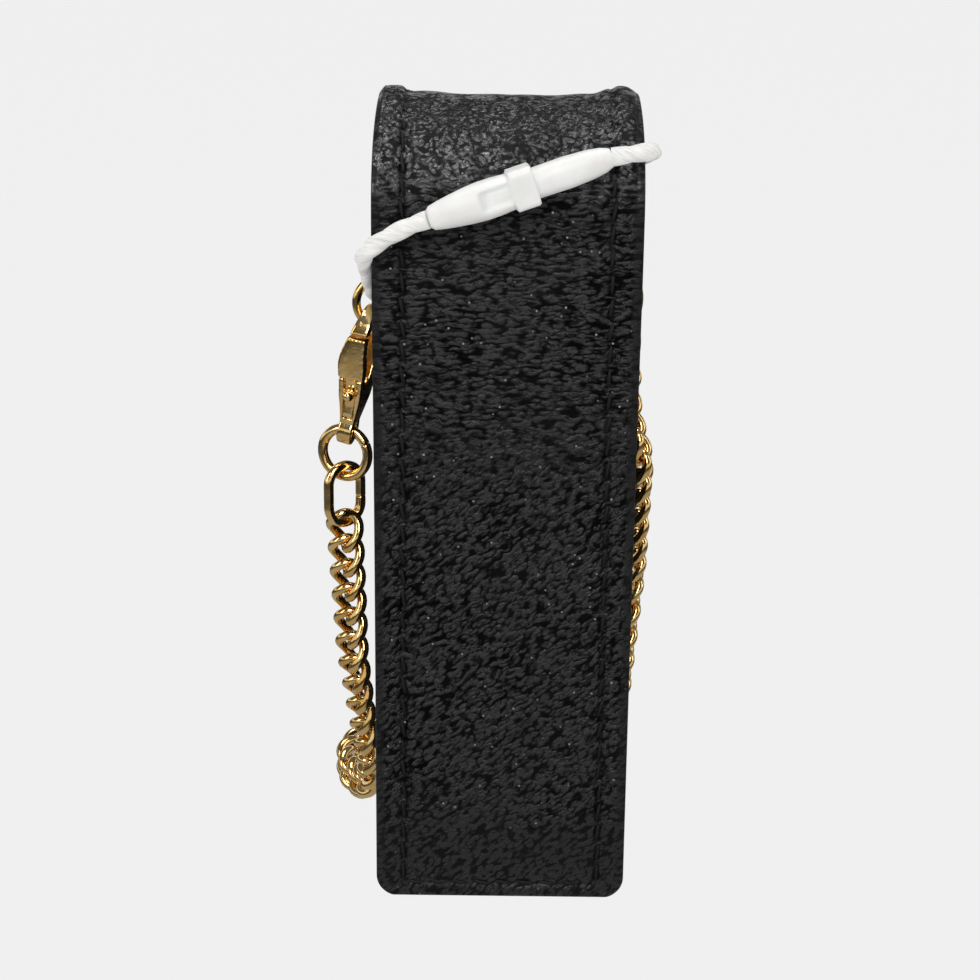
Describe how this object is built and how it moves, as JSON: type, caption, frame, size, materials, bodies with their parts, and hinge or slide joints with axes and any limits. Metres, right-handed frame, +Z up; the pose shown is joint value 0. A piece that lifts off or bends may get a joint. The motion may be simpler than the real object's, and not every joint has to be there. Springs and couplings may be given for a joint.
{
  "type": "flap case with wrist chain",
  "caption": "Slim upright leather case with a snap flap and a gold curb wrist chain hung from side D-rings by a lobster clasp, with a looped hang tag seal.",
  "frame": {"origin": "centre of the footprint of the bend, on the surface that the lower edges of the back and front panels stand on", "axes": "+Z up along the case, +X across the panels to the right when facing the back panel, +Y from the back panel towards the flap"},
  "size_m": [0.0404, 0.0557, 0.096],
  "materials": {
    "leather": "grained, semi-gloss",
    "lining": "matt",
    "gold": "polished plating",
    "spring_steel": "plain",
    "seal": "satin",
    "string": "twisted yarn"
  },
  "bodies": {
    "case": {"back_panel": "leather", "back_lining": "lining", "front_panel": "leather", "front_lining": "lining", "gusset": "leather", "gusset_lining": "lining", "snap_stud": "gold", "snap_backplate": "gold", "left_tab": "leather", "right_tab": "leather", "seal_socket": "seal", "seal_plug": "seal", "tag_string": "string"},
    "flap": {"flap": "leather", "flap_lining": "lining", "snap_cap": "gold", "snap_socket": "gold"},
    "left_d_ring": {"left_d_ring": "gold"},
    "clasp": {"clasp_body": "gold", "clasp_rivet": "gold", "clasp_spring": "spring_steel"},
    "clasp_lever": {"clasp_lever": "gold"},
    "left_jump_ring": {"left_jump_ring": "gold"},
    "oval_ring": {"oval_ring": "gold"},
    "right_d_ring": {"right_d_ring": "gold"},
    "right_jump_ring": {"right_jump_ring": "gold"},
    "link_1": {"link_1": "gold"},
    "link_2": {"link_2": "gold"},
    "link_3": {"link_3": "gold"},
    "link_4": {"link_4": "gold"},
    "link_5": {"link_5": "gold"},
    "link_6": {"link_6": "gold"},
    "link_7": {"link_7": "gold"},
    "link_8": {"link_8": "gold"},
    "link_9": {"link_9": "gold"},
    "link_10": {"link_10": "gold"},
    "link_11": {"link_11": "gold"},
    "link_12": {"link_12": "gold"},
    "link_13": {"link_13": "gold"},
    "link_pair_1": {"link_pair_1": "gold"},
    "link_pair_2": {"link_pair_2": "gold"},
    "link_pair_3": {"link_pair_3": "gold"},
    "link_pair_4": {"link_pair_4": "gold"},
    "link_pair_5": {"link_pair_5": "gold"},
    "link_pair_6": {"link_pair_6": "gold"},
    "link_pair_7": {"link_pair_7": "gold"},
    "link_pair_8": {"link_pair_8": "gold"},
    "link_pair_9": {"link_pair_9": "gold"},
    "link_pair_10": {"link_pair_10": "gold"},
    "right_link_pair_1": {"right_link_pair_1": "gold"},
    "right_link_pair_2": {"right_link_pair_2": "gold"},
    "right_link_pair_3": {"right_link_pair_3": "gold"},
    "right_link_pair_4": {"right_link_pair_4": "gold"},
    "right_link_pair_5": {"right_link_pair_5": "gold"},
    "right_link_pair_6": {"right_link_pair_6": "gold"},
    "right_link_pair_7": {"right_link_pair_7": "gold"},
    "right_link_pair_8": {"right_link_pair_8": "gold"},
    "right_link_pair_9": {"right_link_pair_9": "gold"}
  },
  "joints": [
    {"name": "flap_hinge", "type": "hinge", "parent": "case", "child": "flap", "pos_m": [0, -0.006, 0.09439], "axis": [1, 0, 0], "range_deg": [0, 150]},
    {"name": "left_d_ring_swing", "type": "hinge", "parent": "case", "child": "left_d_ring", "pos_m": [-0.0129, -0.0018, 0.0716], "axis": [0, 0, 1], "range_deg": [0, 8]},
    {"name": "clasp_swing", "type": "hinge", "parent": "left_d_ring", "child": "clasp", "pos_m": [-0.01583, -0.0018, 0.06897], "axis": [1, 0, 0], "range_deg": [0, 8]},
    {"name": "lever_pivot", "type": "hinge", "parent": "clasp", "child": "clasp_lever", "pos_m": [-0.01807, -0.00278, 0.05979], "axis": [-0.955, 0.2079, 0.2117], "range_deg": [0, 16], "stiffness_Nm_per_rad": 0.01, "springref_deg": -11.46, "deforming": ["clasp_spring"]},
    {"name": "left_jump_ring_swing", "type": "hinge", "parent": "clasp", "child": "left_jump_ring", "pos_m": [-0.01865, -0.0018, 0.05623], "axis": [1, 0, 0], "range_deg": [0, 6]},
    {"name": "oval_ring_swing", "type": "hinge", "parent": "left_jump_ring", "child": "oval_ring", "pos_m": [-0.01905, -0.00175, 0.05104], "axis": [1, 0, 0], "range_deg": [0, 5]},
    {"name": "link_1_bend", "type": "hinge", "parent": "oval_ring", "child": "link_1", "pos_m": [-0.0191, -0.00175, 0.04531], "axis": [1, 0, 0], "range_deg": [0, 4]},
    {"name": "link_2_bend", "type": "hinge", "parent": "link_1", "child": "link_2", "pos_m": [-0.01905, -0.00141, 0.04188], "axis": [1, 0, 0], "range_deg": [0, 4]},
    {"name": "link_3_bend", "type": "hinge", "parent": "link_2", "child": "link_3", "pos_m": [-0.01895, -0.00072, 0.03848], "axis": [1, 0, 0], "range_deg": [0, 4]},
    {"name": "link_4_bend", "type": "hinge", "parent": "link_3", "child": "link_4", "pos_m": [-0.01886, -0.00003, 0.03509], "axis": [1, 0, 0], "range_deg": [0, 4]},
    {"name": "link_5_bend", "type": "hinge", "parent": "link_4", "child": "link_5", "pos_m": [-0.01876, 0.00065, 0.03169], "axis": [1, 0, 0], "range_deg": [0, 4]},
    {"name": "link_6_bend", "type": "hinge", "parent": "link_5", "child": "link_6", "pos_m": [-0.01867, 0.00134, 0.0283], "axis": [1, 0, 0], "range_deg": [0, 4]},
    {"name": "link_7_bend", "type": "hinge", "parent": "link_6", "child": "link_7", "pos_m": [-0.01848, 0.00217, 0.02494], "axis": [1, 0, 0], "range_deg": [0, 4]},
    {"name": "link_8_bend", "type": "hinge", "parent": "link_7", "child": "link_8", "pos_m": [-0.01818, 0.00317, 0.02164], "axis": [1, 0, 0], "range_deg": [0, 4]},
    {"name": "link_9_bend", "type": "hinge", "parent": "link_8", "child": "link_9", "pos_m": [-0.01787, 0.00421, 0.01835], "axis": [1, 0, 0], "range_deg": [0, 4]},
    {"name": "link_10_bend", "type": "hinge", "parent": "link_9", "child": "link_10", "pos_m": [-0.01755, 0.00525, 0.01506], "axis": [1, 0, 0], "range_deg": [0, 4]},
    {"name": "link_11_bend", "type": "hinge", "parent": "link_10", "child": "link_11", "pos_m": [-0.01725, 0.00631, 0.01177], "axis": [1, 0, 0], "range_deg": [0, 4]},
    {"name": "link_12_bend", "type": "hinge", "parent": "link_11", "child": "link_12", "pos_m": [-0.01712, 0.0077, 0.00863], "axis": [1, 0, 0], "range_deg": [0, 4]},
    {"name": "link_13_bend", "type": "hinge", "parent": "link_12", "child": "link_13", "pos_m": [-0.0174, 0.00978, 0.00594], "axis": [1, 0, 0], "range_deg": [0, 4]},
    {"name": "link_pair_1_bend", "type": "hinge", "parent": "link_13", "child": "link_pair_1", "pos_m": [-0.0181, 0.01246, 0.00395], "axis": [0, 0, 1], "range_deg": [0, 4]},
    {"name": "link_pair_2_bend", "type": "hinge", "parent": "link_pair_1", "child": "link_pair_2", "pos_m": [-0.02029, 0.01874, 0.00253], "axis": [0, 0, 1], "range_deg": [0, 4]},
    {"name": "link_pair_3_bend", "type": "hinge", "parent": "link_pair_2", "child": "link_pair_3", "pos_m": [-0.02032, 0.0255, 0.00252], "axis": [0, 0, 1], "range_deg": [0, 4]},
    {"name": "link_pair_4_bend", "type": "hinge", "parent": "link_pair_3", "child": "link_pair_4", "pos_m": [-0.01659, 0.03117, 0.00252], "axis": [0, 0, 1], "range_deg": [0, 4]},
    {"name": "link_pair_5_bend", "type": "hinge", "parent": "link_pair_4", "child": "link_pair_5", "pos_m": [-0.01128, 0.0356, 0.00252], "axis": [0, 0, 1], "range_deg": [0, 4]},
    {"name": "link_pair_6_bend", "type": "hinge", "parent": "link_pair_5", "child": "link_pair_6", "pos_m": [-0.00478, 0.03744, 0.00252], "axis": [0, 0, 1], "range_deg": [0, 4]},
    {"name": "link_pair_7_bend", "type": "hinge", "parent": "link_pair_6", "child": "link_pair_7", "pos_m": [0.00212, 0.03689, 0.00252], "axis": [0, 0, 1], "range_deg": [0, 4]},
    {"name": "link_pair_8_bend", "type": "hinge", "parent": "link_pair_7", "child": "link_pair_8", "pos_m": [0.00877, 0.03529, 0.00252], "axis": [0, 0, 1], "range_deg": [0, 4]},
    {"name": "link_pair_9_bend", "type": "hinge", "parent": "link_pair_8", "child": "link_pair_9", "pos_m": [0.01358, 0.03056, 0.00252], "axis": [0, 0, 1], "range_deg": [0, 4]},
    {"name": "link_pair_10_bend", "type": "hinge", "parent": "link_pair_9", "child": "link_pair_10", "pos_m": [0.01495, 0.02392, 0.00256], "axis": [0, 0, 1], "range_deg": [0, 4]},
    {"name": "right_d_ring_swing", "type": "hinge", "parent": "case", "child": "right_d_ring", "pos_m": [0.0129, -0.0018, 0.0716], "axis": [0, 0, -1], "range_deg": [0, 8]},
    {"name": "right_jump_ring_swing", "type": "hinge", "parent": "right_d_ring", "child": "right_jump_ring", "pos_m": [0.01434, 0.00018, 0.06925], "axis": [0, -1, 0], "range_deg": [0, 5]},
    {"name": "right_link_pair_1_bend", "type": "hinge", "parent": "right_jump_ring", "child": "right_link_pair_1", "pos_m": [0.01434, 0.00028, 0.06516], "axis": [0, -1, 0], "range_deg": [0, 4]},
    {"name": "right_link_pair_2_bend", "type": "hinge", "parent": "right_link_pair_1", "child": "right_link_pair_2", "pos_m": [0.01484, 0.00087, 0.05829], "axis": [0, -1, 0], "range_deg": [0, 4]},
    {"name": "right_link_pair_3_bend", "type": "hinge", "parent": "right_link_pair_2", "child": "right_link_pair_3", "pos_m": [0.01629, 0.00292, 0.05188], "axis": [0, -1, 0], "range_deg": [0, 4]},
    {"name": "right_link_pair_4_bend", "type": "hinge", "parent": "right_link_pair_3", "child": "right_link_pair_4", "pos_m": [0.01665, 0.00582, 0.04563], "axis": [0, -1, 0], "range_deg": [0, 4]},
    {"name": "right_link_pair_5_bend", "type": "hinge", "parent": "right_link_pair_4", "child": "right_link_pair_5", "pos_m": [0.01665, 0.00886, 0.0394], "axis": [0, -1, 0], "range_deg": [0, 4]},
    {"name": "right_link_pair_6_bend", "type": "hinge", "parent": "right_link_pair_5", "child": "right_link_pair_6", "pos_m": [0.01646, 0.01101, 0.03289], "axis": [0, -1, 0], "range_deg": [0, 4]},
    {"name": "right_link_pair_7_bend", "type": "hinge", "parent": "right_link_pair_6", "child": "right_link_pair_7", "pos_m": [0.01591, 0.01142, 0.026], "axis": [0, -1, 0], "range_deg": [0, 4]},
    {"name": "right_link_pair_8_bend", "type": "hinge", "parent": "right_link_pair_7", "child": "right_link_pair_8", "pos_m": [0.01535, 0.01174, 0.0191], "axis": [0, -1, 0], "range_deg": [0, 4]},
    {"name": "right_link_pair_9_bend", "type": "hinge", "parent": "right_link_pair_8", "child": "right_link_pair_9", "pos_m": [0.01481, 0.01226, 0.01222], "axis": [0, -1, 0], "range_deg": [0, 4]}
  ]
}
